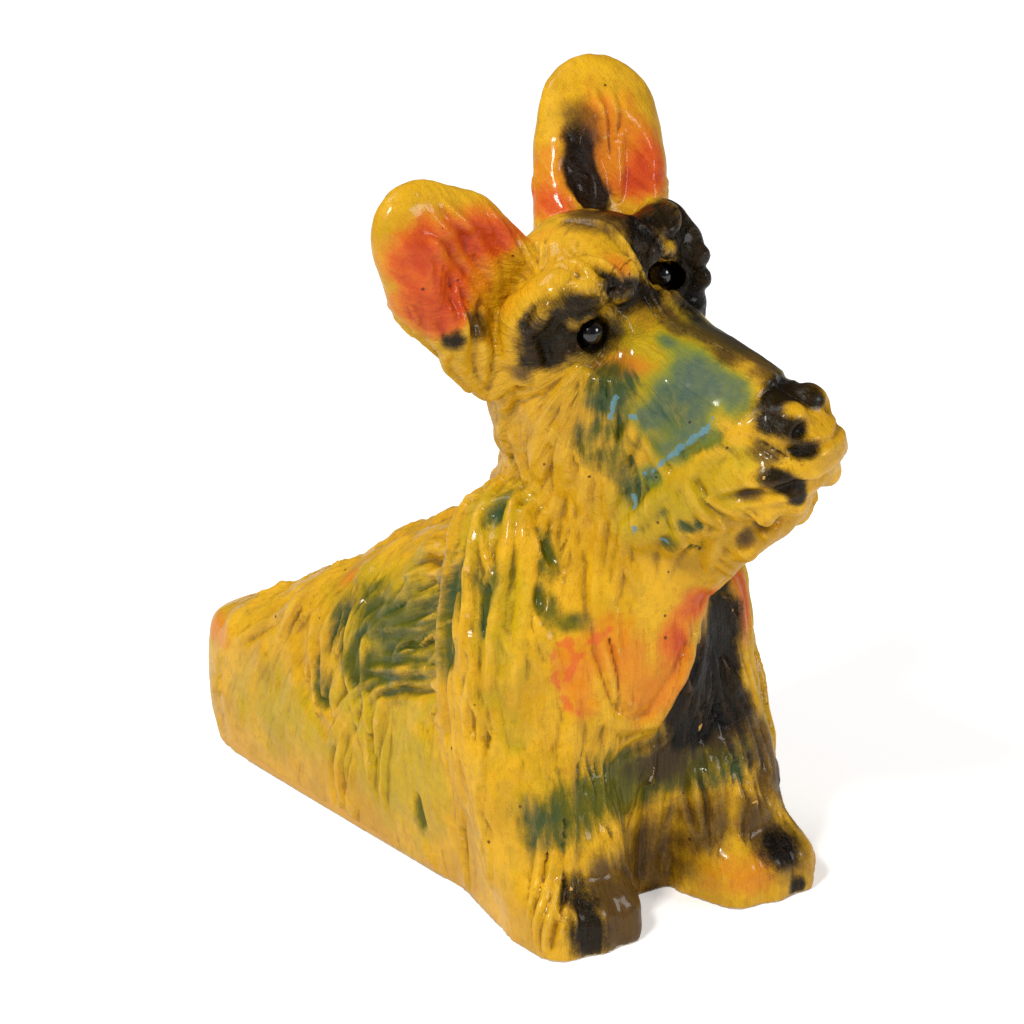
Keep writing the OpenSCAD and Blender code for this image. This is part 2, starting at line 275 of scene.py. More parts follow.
def curls(side):
    """Small knobs of curled hair round the eyes and under the lower lip."""
    knobs = [(3.2, 36.8, 4.6, 3.4), (5.2, 37.2, 3.4, 2.4), (5.5, 38, -8, 2.5), (8.5, 35, -9, 2),
             (6, 34, -13.5, 1.8), (6, 29.5, -18, 2)]
    if side > 0:
        knobs += [(14.6, 12.6, 20.4, 2), (15.4, 12.4, 16.2, 1.9)]
    return [(face(side * x, f, u), r) for x, f, u, r in knobs]


BIB = beads_between([((3, NECK_Y - 9, 56), 12), ((1, NECK_Y - 10, 42), 11), ((0, NECK_Y - 8, 27), 9.4),
                     ((0, NECK_Y - 8, 8), 7)])


def ball_tool(place, radius):
    bpy.ops.object.select_all(action="DESELECT")
    bpy.ops.mesh.primitive_uv_sphere_add(
        segments=48, ring_count=24, radius=radius * MM, location=Vector(place) * MM)
    return bpy.context.object


skin, hollow = split_skins()
lumps = [clay("limb_clay", both(legs) + both(muzzle) + both(brows) + BIB), clay("curl_clay", both(curls))]
only(skin, *lumps)
bpy.ops.object.join()
apply(skin, "REMESH", mode="VOXEL", voxel_size=GRAIN * MM)
# the left eye looks out through a dip in its brow
for away, radius in ((4.5, 3.6), (8, 3.2)):
    dip = face(EYE_GAP / 2 - 0.74 * away, EYE_FORWARD + 0.48 * away, EYE_UP + 0.46 * away)
    carve(skin, ball_tool(dip, radius), "DIFFERENCE")
apply(skin, "REMESH", mode="VOXEL", voxel_size=GRAIN * MM, use_smooth_shade=True)
apply(skin, "SMOOTH", factor=0.5, iterations=BLEND_PASSES)


# Noise on the figure, the same on each run
def lattice(i, seed):
    h = (i[:, 0] * 73856093) ^ (i[:, 1] * 19349663) ^ (i[:, 2] * 83492791) ^ (seed * 2654435761)
    h = (h ^ (h >> 13)) * 1274126177 & 0x7FFFFFFF
    return (h ^ (h >> 16)) % 65536 / 32767.5 - 1


def noise(p, size, seed):
    """Soft lumps of about that size, from -1 to 1."""
    q = p / size + 1000
    i = np.floor(q).astype(np.int64)
    t = q - i
    t = t * t * (3 - 2 * t)
    total = 0
    for corner in range(8):
        step = np.array([corner & 1, corner >> 1 & 1, corner >> 2 & 1])
        total = total + lattice(i + step, seed) * np.prod(np.where(step, t, 1 - t), axis=1)
    return total


def on_head(p):
    """Places as side, forward and up on the head."""
    h = np.array(HEAD_BACK)
    q = p @ h[:3, :3].T + h[:3, 3]
    return np.stack([q[:, 0], -q[:, 1], q[:, 2]], axis=1)


def is_head(s, f, u):
    return (u > -28) & (abs(s) < 18) & (f > -15) & ((u > -12) | (f > -4))


# Slope of the hair that runs back from the shoulder, and the place over the back that the rest hangs from
RUN_BACK, HANG = math.radians(25), (-5, 90)


def hangs(y, z):
    """From 0, where the hair of the flank runs back, to 1, where it hangs."""
    return np.maximum(smooth(y, -14, 10), smooth(-z, -32, -22))


def lie(p):
    """The way that the hair lies: back and then down on the flank, and out from the brow on the head."""
    s, f, u = HEAD_BACK @ p * Vector((1, -1, 1))
    if is_head(s, f, u):
        side, forward, up = 0.12 * math.copysign(1, s), f - 11, u - 17
        if u > SKULL_H - 6:
            side, forward, up = 0, -0.6, 1
        return (HEAD.to_3x3() @ Vector((side, -forward, up))).normalized()
    if p.y < -30:
        return Vector((0.004 * p.x, -0.22, -1)).normalized()
    down = Vector((0, p.y - HANG[0], p.z - HANG[1])).normalized()
    return Vector((0, math.cos(RUN_BACK), -math.sin(RUN_BACK))).lerp(down, float(hangs(p.y, p.z))).normalized()


class Surface:
    """The modelled skin, to lay strokes on."""

    def __init__(self, ob):
        self.ob = ob
        self.co, self.no = points_of(ob)
        self.near = KDTree(len(self.co))
        for k, p in enumerate(self.co):
            self.near.insert(p, k)
        self.near.balance()
        self.up = np.zeros(len(self.co))
        self.down = np.zeros(len(self.co))

    def touch(self, p):
        """The place on the skin that is nearest, and the way out of the skin there."""
        found, k, _ = self.near.find(p)
        n = Vector(self.no[k])
        return Vector(p) - n * (Vector(p) - found).dot(n), n

    def walk(self, start, length, bend):
        """A path on the skin that follows the lie of the hair."""
        p, n = self.touch(start)
        path = [p]
        for _ in range(int(length / PATH_STEP)):
            way = lie(p)
            way = way + n.cross(way) * bend
            way -= n * way.dot(n)
            if way.length < 0.2:
                break
            p, n = self.touch(p + way.normalized() * PATH_STEP)
            path.append(p)
        return path

    def join_up(self, places):
        """A path on the skin through places."""
        path = []
        for a, b in zip(places, places[1:]):
            a, b = Vector(a), Vector(b)
            n = max(1, int((b - a).length / PATH_STEP))
            path += [self.touch(a.lerp(b, k / n))[0] for k in range(n)]
        return path + [self.touch(places[-1])[0]]

    def stroke(self, path, width, height, blunt=0.5):
        """Raises the skin along a path, or cuts it where height is below 0, thinner to both ends."""
        m = len(path)
        if m < 3:
            return
        best = {}
        for k, p in enumerate(path):
            taper = math.sin(math.pi * (k + 0.6) / (m + 0.2)) ** blunt
            w = width * (0.35 + 0.65 * taper)
            for _, v, d in self.near.find_range(p, w * 1.7):
                q = d / w
                if q < best.get(v, (9, 0))[0]:
                    best[v] = (q, taper)
        ids = np.fromiter(best.keys(), int)
        q, taper = np.array(list(best.values())).T
        dome = np.where(q < 1, (1 - np.minimum(q, 1) ** 2) ** 1.4, 0) * taper * abs(height)
        if height < 0:
            self.down[ids] = np.maximum(self.down[ids], dome)
            return
        gully = np.where((q > 0.8) & (q < 1.7), np.sin((q - 0.8) / 0.9 * np.pi), 0) * taper * height * 0.3
        self.up[ids] = np.maximum(self.up[ids], dome)
        self.down[ids] = np.maximum(self.down[ids], gully * (self.up[ids] < 0.15 * height))

    def settle(self):
        """Moves the skin by all strokes."""
        lumps = 0.22 * noise(self.co, 6.5, 1) + 0.14 * noise(self.co, 2.6, 2) + 0.06 * noise(self.co, 1.3, 3)
        relief = self.up - self.down * (self.up < 0.25)
        move = relief + lumps * smooth(self.co[:, 2], 0.5, 6)
        move *= smooth(self.co[:, 2], 0.2, 2.5)
        co = self.co + self.no * move[:, None]
        low = self.co[:, 2] < 0.6 * GRAIN
        co[low, 2] = 0
        co[:, 2] = np.maximum(co[:, 2], 0)
        put_points(self.ob, co)


def hair(surface):
    """Combs the coat: broad locks first, then the finer hairs on them."""
    co = surface.co
    s, f, u = on_head(co).T
    head = is_head(s, f, u)
    _, y, z = co.T
    # how thickly the tufts stand: the rump, low on the flank, the feet, the muzzle, the nose, the crown and the
    # ears, and none at the ear tips, at the end of the rump, round the eyes and along the rim
    want = np.where(head, 0.8, 0.6)
    for where, share in (
            (~head & (y > 30) & (z < 26), 0.06), (~head & (y > -26) & (z < 18), 0.25),
            (~head & (y < -26) & (z < 14), 0.1), (head & (f > 12) & (u > 2), 0.12), (head & (f > 34), 0.1),
            (head & (u > 24), 0.25), (u > 31, 0.1), ((u > 37) | (y > 50), 0),
            ((off_eyes(co) < 7) | (z < 4), 0)):
        want = np.where(where, share, want)
    for tufts, width, height, length in (
            (90, (1.1, 1.9), (0.6, 1.15), (12, 24)), (380, (0.6, 1.1), (0.3, 0.6), (5, 12))):
        for k in dice.choice(len(co), tufts, replace=False, p=want / want.sum()):
            root, n = surface.touch(Vector(co[k]))
            across, bend = n.cross(lie(root)).normalized(), dice.normal(0, 0.2)
            wide, long = dice.uniform(*width), dice.uniform(*length)
            # a tuft is three hairs that draw together, or a cut between two
            for lane in (-1, 0, 1):
                start = root + across * lane * wide * 1.25 + lie(root) * dice.uniform(-0.3, 0.1) * long
                path = surface.walk(start, long * dice.uniform(0.6, 1), bend - 0.09 * lane)
                sign = -0.9 if dice.random() < 0.25 else 1
                surface.stroke(path, wide * dice.uniform(0.7, 1), sign * dice.uniform(*height))


def details(surface):
    """The strokes that the mould shows one by one: places, width, height, and how blunt the ends are."""

    def draw(places, *shape):
        surface.stroke(surface.join_up(places), *shape)

    draw([face(0, f, u) for f, u in ((-4, 31), (5, 31), (9, 27), (11, 23), (14, 16), (17, 14))], 1.0, 0.8, 0.3)
    for m in (-1, 1):
        def coat(places, *shape):
            draw([(m * x, y, z) for x, y, z in places], *shape)

        def head(places, *shape):
            draw([face(m * s, f, u) for s, f, u in places], *shape)

        # crease in front of the rump, cuts that the green paint sits in, and the strands between them
        coat(((16, 25, 38), (21, 22, 27), (23, 17, 19), (23, 8, 13)), 3.0, -0.9)
        for a, b, w in (
                ((17, -4, 48), (21, -22, 57), 1.3), ((19, -6, 43), (22, -24, 54), 1.5),
                ((19, -10, 41), (23, -26, 51), 1.4), ((20, -2, 33), (22, -20, 41), 1.3),
                ((22, 0, 25), (24, -20, 33), 1.2), ((20, 10, 37), (22, 11, 28), 2.2),
                ((21, 7, 28), (22, 5, 24), 1.8), ((22, 16, 25), (23, 10, 17), 2.0),
                ((25, -30, 54), (27, -31, 45), 1.8), ((22, -34, 59), (25, -37, 47), 1.4),
                ((17, -29, 68), (21, -33, 62), 2.4), ((15, -39, 63), (14, -40, 58), 1.5),
                ((17, -40, 56), (18, -42, 52), 1.5), ((23, -15, 13), (23, -17, 8), 1.6),
                ((20, -14, 46), (21, -22, 49), 1.3)):
            coat((a, b), w, -1.1)
        for places, w, h in (
                (((16, -6, 51), (20, -24, 60)), 1.3, 0.9), (((18, -3, 46), (22, -22, 55)), 1.2, 0.9),
                (((19, -8, 39), (23, -26, 49)), 1.3, 0.9), (((20, 0, 36), (22, -18, 43)), 1.2, 0.8),
                (((21, 1, 29), (24, -22, 37)), 1.2, 0.9),
                (((19, 12, 40), (21, 14, 31), (23, 13, 21)), 1.5, 1.1),
                (((19, 8, 40), (21, 8, 32), (22, 6, 26), (23, 2, 19)), 1.4, 1.1),
                (((19, 17, 38), (22, 18, 29), (23, 14, 17)), 1.4, 0.9),
                (((20, 3, 34), (22, 2, 27), (23, -2, 19)), 1.2, 0.9),
                (((13, -25, 68), (21, -30, 60), (25, -33, 50), (26, -33, 38)), 1.5, 1.1),
                (((13, -20, 66), (20, -25, 58), (24, -27, 46), (25, -29, 32), (24, -26, 14)), 1.9, 1.0),
                (((14, -30, 73), (19, -35, 62), (24, -38, 52), (26, -39, 38)), 1.6, 1.1),
                (((13, -33, 69), (17, -38, 59), (21, -41, 48), (23, -42, 36)), 1.5, 0.9)):
            coat(places, w, h, 0.35)
        # hair over the forelegs
        coat(((15, -47, 38), (17, -49, 28), (19, -52, 20)), 2, 0.9)
        coat(((20, -44, 36), (22, -47, 26), (23, -50, 16)), 2, 0.8)
        coat(((19, -51, 23), (20, -54, 13)), 1.6, -0.9)
        # eyelids, mouth, nostrils and the locks of the moustache and the beard
        turns = np.linspace(0, 2 * math.pi, 19)
        head([(EYE_GAP / 2 + 3.5 * math.cos(t), 8.6 + 0.8 * math.cos(t),
               EYE_UP + 3.5 * math.sin(t)) for t in turns],
             0.9, 0.6, 0.05)
        head(((12, 29, -6), (10, 35, -4.5), (7, 39.5, -4), (0, 41.5, -4.5)), 1.9, -1.7, 0.3)
        head(((9, 33, 3.5), (7.5, 38, 1.2), (5, 41, 1), (0, 43, 1.2)), 1.3, -1.1, 0.3)
        head(((3.5, 41, 4.6), (5.6, 39.6, 4)), 1.3, -1.3, 0.3)
        head(((9, 31, 6), (6, 33, 8.5), (1, 34, 9.5)), 1.2, -0.6)
        head(((9, 30, 5), (11, 22, -1), (13, 16, -6)), 1.4, -0.8)
        head(((9, 29, 2), (13, 20, -6), (14, 14, -13)), 2.2, 0.9)
        for places in (
                ((15, 14, 10), (16, 9, 0), (15, 6, -10)), ((14, 17, 8), (15, 13, -2), (14, 10, -12)),
                ((15, 9, 11), (16, 5, 1), (15, 2, -8)), ((12, 22, -8), (13, 22, -15), (12, 18, -22)),
                ((10, 28, -9), (11, 27, -15), (9, 24, -22)), ((15, 3, 8), (15.5, -1, -2), (14, -4, -11))):
            head(places, 1.8, 0.9)
        # curls of the brow
        for a, b, w, h in (
                ((14.5, 7, 26.5), (10, 9.5, 26), 1.8, 1.0), ((9.5, 11, 24.3), (5, 12.5, 22), 2.0, 1.2),
                ((17.5, 4.5, 24.5), (19, 2, 20), 1.7, 1.0), ((19, 1, 19), (17.5, 2, 14.5), 1.7, 1.0),
                ((15.5, 6.5, 22), (14, 8, 19), 1.5, 1.0), ((15, 6, 16), (12, 9, 13.5), 1.4, 0.8)):
            head((a, b), w, h, 0.4)
        # fold down the ear, and the wrinkles at its root
        head(((26, -10, 37), (24, -9, 33), (19, -6, 25)), 1.6, 0.8, 0.3)
        for k in range(-3, 4):
            root = (19 + 0.3 * k, -5 - 0.5 * k, 26 - 1.1 * k)
            tip = (27 + 0.7 * k - abs(k), -9 - 0.4 * k, 40 - 2.2 * k - abs(k))
            head((root, tip), 1.1, 0.5 if k % 2 else -0.5)
    # the loose lower edge of the bib, the cup of the left ear and the crease between the legs
    draw([(7, -51, 48), (3, -50, 40), (-1, -49, 32), (-6, -48, 32), (-12, -47, 37)], 1.8, 1.0, 0.3)
    draw([(9, -49, 46), (5, -49, 38), (1, -48, 29), (-6, -47, 27)], 2.2, -1.3, 0.3)
    draw([face(11, -6, 28), face(12, -7, 36)], 3.6, -2.0)
    draw([(0, -45, 22), (0, -46, 12), (0, -46, 3)], 2.4, -1.6, 0.3)


surface = Surface(skin)
hair(surface)
details(surface)
surface.settle()
apply(skin, "SMOOTH", factor=0.4, iterations=1)
skin_co, skin_no = points_of(skin)
low = skin_co[:, 2] < 0.4
skin_co[low, 2] = 0
put_points(skin, skin_co)


# How far each point stands out of its surroundings, which is where paint wears off or gathers, and where shade
# and highlight are painted into the colour
level = skin.copy()
level.data = skin.data.copy()
scene.collection.objects.link(level)
apply(level, "SMOOTH", factor=0.5, iterations=LEVEL_PASSES)
level_co, _ = points_of(level)
bpy.data.objects.remove(level)
relief = np.clip(((skin_co - level_co) * skin_no).sum(axis=1) * RELIEF_GAIN, -1, 1)
hs, hf, hu = on_head(skin_co).T
X, Y, Z = skin_co.T
on_face = smooth(hu, -30, -24) * smooth(hf, -17, -12) * np.maximum(smooth(hu, -14, -9), smooth(hf, -6, -1))
on_front = smooth(-Y, 27, 31) * (1 - on_face)
# fine hairs are this much longer than wide, and this much of the depth into the figure counts
HAIR_LONG, HAIR_DEEP = 0.11, 0.4


def fan(along, up, third, reach):
    """Where a point lies in hair that fans out: across the hair, along it, and into the figure."""
    turn, run = np.arctan2(along, -up) * reach, np.hypot(along, up) * HAIR_LONG
    return np.stack([turn, run, third * HAIR_DEEP], axis=1) * MM


across_back = Y * math.sin(RUN_BACK) + Z * math.cos(RUN_BACK)
combed = {
    "comb_back": np.stack([across_back, Y * HAIR_LONG, X * HAIR_DEEP], axis=1) * MM,
    "comb_flank": fan(Y - HANG[0], Z - HANG[1], X, 60),
    "comb_front": np.stack([X, Y * 0.6, Z * HAIR_LONG], axis=1) * MM,
    "comb_face": fan(hf - 11, hu - 17, hs, 22),
}


# The paint: each pass of the gun is a soft puff, and what they leave is kept at the points of the skin
def patch(puffs, seed, ragged=0.16):
    """How much paint a row of puffs leaves, from 0 to 1. Each puff is a place and one or three radii."""
    load = np.zeros(len(skin_co))
    rough = ragged * (noise(skin_co, 2.4, seed) + noise(skin_co, 5.5, seed + 1))
    for place, radii in puffs:
        d = np.linalg.norm((skin_co - np.array(place)) / np.array(radii), axis=1) + rough
        load += np.exp(-PUFF_FADE * np.maximum(d, 0) ** PUFF_EDGE)
    return 1 - np.exp(-BUILD_UP * load)


def heads(*puffs):
    """Puffs on the head, each with its place as side, forward and up."""
    return [(face(*p[:3]), p[3]) for p in puffs]


def mirrored(puffs):
    """The same passes on the dog's other side, a little off."""
    turn = HEAD @ Matrix.Scale(-1, 4, (1, 0, 0)) @ HEAD_BACK
    out = []
    for place, radii in puffs:
        p = Vector(place)
        q = turn @ p if p.z > 70 else Vector((-p.x, p.y, p.z))
        out.append((q + Vector(dice.normal(0, 0.8, 3)), radii))
    return puffs + out


black = patch(
    # the dog's right eye, the crown and the left eye
    heads((-17, 3, 20, (4.5, 6, 4.5)), (-17, 2, 16.5, (4, 5, 3.5)), (-14, 6, 24, (4.5, 4.5, 4)),
          (-9, 10, 25.5, (4, 4, 3)), (-5, 12, 22.5, (4.5, 4, 3.2)), (-12, 8, 18, (5.5, 5, 4)),
          (13, -4, 28, (4.5, 5, 3)), (7, 3, 30, (4, 5, 2.4)), (9, 8, 29, (5, 4.4, 3.2)), (14, 8, 26, (5, 6, 4)),
          (16, 12, 22, (4.5, 6, 5)), (3, 10, 26.5, (3.2, 4, 3.2)), (7, 13, 22, (5, 5, 4)),
          (14, 12, 16, (6, 6, 5)), (7, 16, 16, (4, 5, 3)), (1, 12.5, 20, (2.5, 4, 3.5)), (16, 8, 11, (4, 6, 4)),
          # nose, nostrils, mouth and chin
          (4, 35, 7.5, (4, 4, 3)), (-1, 35, 8, (3.4, 4, 3)), (-5.5, 35, 5.5, (3, 4, 3)),
          (-5, 38.5, 4.5, (3, 3, 2)), (2, 38.5, 6, (3, 3, 2)), (-5, 40.5, 1.2, (3.4, 3, 1.6)),
          (-9.5, 37, -2, (3.4, 4, 2)), (-7.5, 39, -4, (3, 3, 1.6)), (-7, 40, -6.4, (2.2, 2.4, 1.4)),
          # the hollows of the ears
          (-25, -8, 20.5, (2.4, 4, 2.4)), (14, -7, 36, (3.2, 5, 5)), (13.5, -7, 31, (3.8, 5, 4.5)),
          (11, -7, 27, (4, 5, 2.4)))
    + [((15, -46, 44), (6, 6, 6)), ((14, -47, 38), (5, 5, 4)), ((9, -49, 37), (6, 5, 6)),
       ((15, -48, 31), (6, 5, 5)), ((4, -50, 33), (3, 4, 4)), ((8, -48, 28), (5, 4, 4)),
       ((-20, -59, 3), (4.5, 4, 4)), ((-19.5, -57, 10), (4, 5, 4.5)), ((19, -57, 9), (4.5, 5, 5)),
       ((21, -59, 1.5), (2.4, 3, 2)), ((26, -50, 14), (3, 6, 8))], seed=11)
brown = patch(
    [((1, -45, 6), (8, 6, 9)), ((-9, -50, 8), (5, 7, 9)), ((-15, -56, 8), (3, 4, 7)), ((2, -48, 24), (8, 5, 5)),
     ((13, -49, 27), (7, 5, 5)), ((9, -50, 12), (4, 6, 6)), ((22, -50, 20), (5, 6, 9)),
     ((15, -54, 12), (3, 5, 5)), ((20, -57, 9), (6, 6, 7)), ((-14, -57, 6), (3.4, 5, 6)),
     ((-10, -56, 6), (4, 6, 7)), ((-12, -57, 2), (5, 6, 4)), ((10, -48, 40), (7, 5, 8))]
    + heads((0, 16, 17, (2.4, 5, 3)), (4, 20, 15, (5, 6, 4)), (4, 27, 12, (5, 6, 3.5)),
            (2, 32, 9.5, (4.5, 5, 3)), (-1, 25, 13, (2, 7, 2)), (5, 10, 29, (3, 5, 4)),
            (1, 2, 31, (4.5, 4, 2.4)), (3, 6, 30, (4, 4, 2.4)), (-20, -7, 21, (3, 5, 3)),
            (-7, 30, -15, (1.6, 2, 2.4)), (-7, 33, -12, 1.6), (-9, 36, 1.5, (3, 4, 2)),
            (-10, 33, -5, (2.6, 3, 2)), (-5, 39, -1, 2), (16, -7, 39, (4, 5, 6)), (4, -2, 30, (4, 4, 2.6)),
            (-19, 0, 13, (2, 4, 2.4))), seed=17)
pink = patch(heads(
    (-16, -6, 34, (4.5, 5, 3.4)), (-19, -8, 36, (5, 5, 4)), (-13, -5, 33, (4, 5, 2.6)),
    (-24, -8, 30, (5, 5, 4)), (-28, -9, 27, (5, 5, 3)), (-24, -8, 25, (3.4, 5, 3)), (-27, -9, 38, (5, 5, 4)),
    (-30, -12, 35, (4, 5, 4)), (-30, -11, 29, (4, 5, 4)), (-27, -9, 24, (4, 5, 3)), (25, -1, 30, (3.6, 6, 5)),
    (22, -2, 28, (4.5, 5, 3)), (7, -9, 29, (2.6, 5, 3)), (-7, -5, 31.5, (5, 3, 2)))
    + [((6, -51, 51), (5, 5, 3.4)), ((1, -51, 46), (3.4, 4, 4.5)), ((21, -43, 45), (2.6, 5, 8)),
       ((15, -46, 52), (6, 5, 3))], seed=19)
blush = patch(mirrored(heads((-24, -9, 33, (10, 8, 8)), (-21, -7, 27, (6, 7, 6)), (-16, -6, 33, (6, 6, 6))))
              + heads((20, -5, 36, (6, 7, 8)), (23, -2, 30, (6, 7, 6)), (8, -9, 31, (4, 7, 6)),
                      (-6, 10, 27, (3, 4, 3)), (-10, 13, 13, (5, 4, 2)))
              + [((-15, -46, 44), (3, 5, 5)), ((-14, -47, 38), (3.4, 5, 4)), ((-9, -49, 46), (5, 5, 6)),
                 ((-4, -50, 38), (4, 4, 7)), ((13, -55, 5), (7, 6, 4)), ((-22, 50, 21), (4, 8, 3)),
                 ((-17, 16, 40), (3, 3, 2)), ((2, -51, 40), (4, 5, 9))], seed=23)
green = patch(mirrored([
    ((-25, -29, 53), (4, 4, 7)), ((-26, -29, 44), (4, 4, 6)), ((-22, -12, 44), (6, 8, 7)),
    ((-20, -6, 35), (6, 10, 6)), ((-22, -19, 52), (6, 6, 7)), ((-21, -1, 29), (6, 9, 4)),
    ((-20, 2, 39), (6, 8, 4)), ((-20, 11, 35), (5, 2.6, 5)), ((-22, 14, 22), (5, 2.2, 5)),
    ((-22, 4, 29), (5, 3, 5)), ((-19, -31, 66), (5, 2, 4)), ((-23, -36, 53), (4, 1.8, 8)),
    ((-23, -16, 10), (4, 2, 3)), ((-15, -39, 60), (2, 4, 4)), ((-17, -42, 53), (2, 4, 4)),
    ((-14, -44, 50), (3, 4, 1.8))])
    + mirrored(heads((-14, 12, 9, (4, 2.6, 5)), (-16, 9, 2, (4, 2.6, 5)), (-15, 13, 0, (4, 2, 5)),
                     (-14, 15, -6, (4, 2, 4)), (-12, 13, 11, (4, 4, 3)), (-10, 20, 3, (4, 4, 4)),
                     (-12, 19, -9, 2.4), (-13, 24, -11, (2.6, 2.6, 1.4)), (-14, 20, -15, (2.6, 2.2, 2)),
                     (-8, 26, 2, (4, 4, 2))))
    + [((-22, -48, 19), (4, 4, 5)), ((-18, -50, 21), (5, 5, 6)), ((-12, -49, 22), (5, 5, 6)),
       ((-6, -47, 22), (6, 5, 6)), ((2, -48, 22), (6, 5, 6)), ((8, -49, 23), (6, 5, 6)),
       ((15, -50, 24), (6, 5, 6))], ragged=0.22, seed=29)
moss = patch(mirrored(heads((-3, 19, 15, (5, 7, 3.4)), (-12, 15, 10, (6, 6, 7)), (-12, 24, -6, (6, 9, 6)),
                            (-10, 32, 0, (4, 5, 4)), (-14, 16, -10, (5, 8, 7)), (-8, 16, 13, (6, 5, 5))))
             + mirrored([((-22, -8, 16), (6, 18, 12)), ((-20, -4, 40), (8, 20, 16)),
                         ((-23, 26, 14), (5, 16, 8)), ((-22, -38, 40), (5, 6, 20)), ((-18, -30, 62), (8, 7, 8)),
                         ((-18, -44, 24), (8, 5, 6))]), ragged=0.3, seed=31)
teal = patch(mirrored(heads((-4, 17, 15, (2, 3, 2)), (-5, 21, 13, (3, 4, 2.6)), (-5, 25, 11.5, (3.4, 4, 3)),
                            (-5, 28, 10, (3.4, 3.4, 2.6)), (-7, 30, 8, (3, 3, 3)), (-8, 25, 9, (4.5, 4, 4)),
                            (-9, 20, 10, (4, 4, 3.4)), (-12, 18, 6, (3, 4, 3.4)), (-10, 25, 4, (3.6, 4, 3)),
                            (-12, 21, 0.5, (3, 3.4, 2.6)), (-13, 17.5, -4, (2, 2.6, 2.2)))), seed=37)

# the point of the uncut skin that is nearest to a place
finder = KDTree(len(skin_co))
for k, p in enumerate(skin_co):
    finder.insert(p, k)
finder.balance()


def traced(runs, width):
    """A thin line of paint on the skin, through each row of places."""
    load = np.zeros(len(skin_co))
    rough = width * noise(skin_co, 1.1, 41)
    for run in runs:
        for p, _ in beads_between([(q, 1) for q in run], 0.5):
            near = skin_co[finder.find(p)[1]]
            off = np.linalg.norm(skin_co - near, axis=1) + rough
            load = np.maximum(load, 1 - smooth(off, 0.2 * width, width))
    return load


chip = traced(([face(-15, 12, 6), face(-14, 13, 9)], [face(-14, 15, 6), face(-14, 16.5, 6)],
               [face(-9, 27, 6), face(-10, 26, 4), face(-11, 22, 1), face(-12, 20, -1), face(-13, 17, -4)],
               [face(-14, 15, -7), face(-14, 15, -9)], [face(-15, 15, -12), face(-15, 15, -14)],
               [face(-14, 19, -14), face(-14, 20, -15)]), 0.62)
scribble = traced(([(-15, -45, 47), (-14, -46, 44), (-15, -46, 42), (-17, -45, 41), (-18, -45, 44),
                    (-16, -45, 47)],
                   [(-17, -45, 41), (-16, -46, 38), (-15, -47, 36)],
                   [(-14, -46, 44), (-12, -47, 47), (-9, -48, 49)]), 0.8)
rim = smooth(1.8 + 1.1 * noise(skin_co, 3, 59) - Z, -0.4, 0.6) * smooth(Y, -20, 10)
chips = smooth(noise(skin_co, 1.3, 61) + 0.3 * relief, 0.93, 1.02)
worn = np.clip(rim + chips, 0, 1)


# The hollow and the eye sockets are cut, and the figure is parted along the line of its mould
def parting_tool():
    """All that lies to the dog's right of the parting line, as in the casting."""
    far = 150
    # each level: a height, and whether the lines behind the neck and before it have turned with the head
    levels = [(-1, 0, 0), (HEAD_Z - BEARD_H - 16, 0, 0), (HEAD_Z - BEARD_H - 2, 0, 1), (HEAD_Z - 15, 0, 1),
              (HEAD_Z - 3, 1, 1), (HEAD_Z + far, 1, 1)]
    turn, lean = math.radians(HEAD_TURN), math.tan(math.radians(HEAD_ROLL))
    points = []
    for z, back, front in levels:
        b, f = back * turn, front * turn
        aside = Vector((math.cos(turn), math.sin(turn)))
        pb, pf = [aside * (-share * lean * (z - HEAD_Z)) for share in (back, front)]
        ring = [pb, pb + far * Vector((-math.sin(b), math.cos(b))), (-far, far), (-far, -far),
                pf + far * Vector((math.sin(f), -math.cos(f))), pf]
        points += [(p[0], p[1] + NECK_Y, z) for p in ring]
    faces = [tuple(range(6)), tuple(range(len(points) - 1, len(points) - 7, -1))]
    for k in range(len(levels) - 1):
        for i in range(6):
            j = (i + 1) % 6
            faces += [(k * 6 + i, (k + 1) * 6 + i, (k + 1) * 6 + j), (k * 6 + i, (k + 1) * 6 + j, k * 6 + j)]
    ob = new_mesh("parting", points, faces)
    only(ob)
    bpy.ops.object.mode_set(mode="EDIT")
    bpy.ops.mesh.select_all(action="SELECT")
    bpy.ops.mesh.normals_make_consistent(inside=False)
    bpy.ops.object.mode_set(mode="OBJECT")
    return ob


carve(skin, hollow, "DIFFERENCE")
for m in (-1, 1):
    rim_at = face(m * (EYE_GAP / 2 + 0.5 * EYE_D / 4), EYE_FORWARD + EYE_D / 4, EYE_UP + 0.15 * EYE_D / 4)
    carve(skin, ball_tool(eye_at(m), EYE_D / 2 + EYE_FIT), "DIFFERENCE")
    carve(skin, ball_tool(rim_at, EYE_D / 2 + EYE_GROOVE), "DIFFERENCE")

other = skin.copy()
other.data = skin.data.copy()
scene.collection.objects.link(other)
carve(skin, parting_tool(), "INTERSECT")
carve(other, parting_tool(), "DIFFERENCE")
skin.name, other.name = "right_half", "left_half"

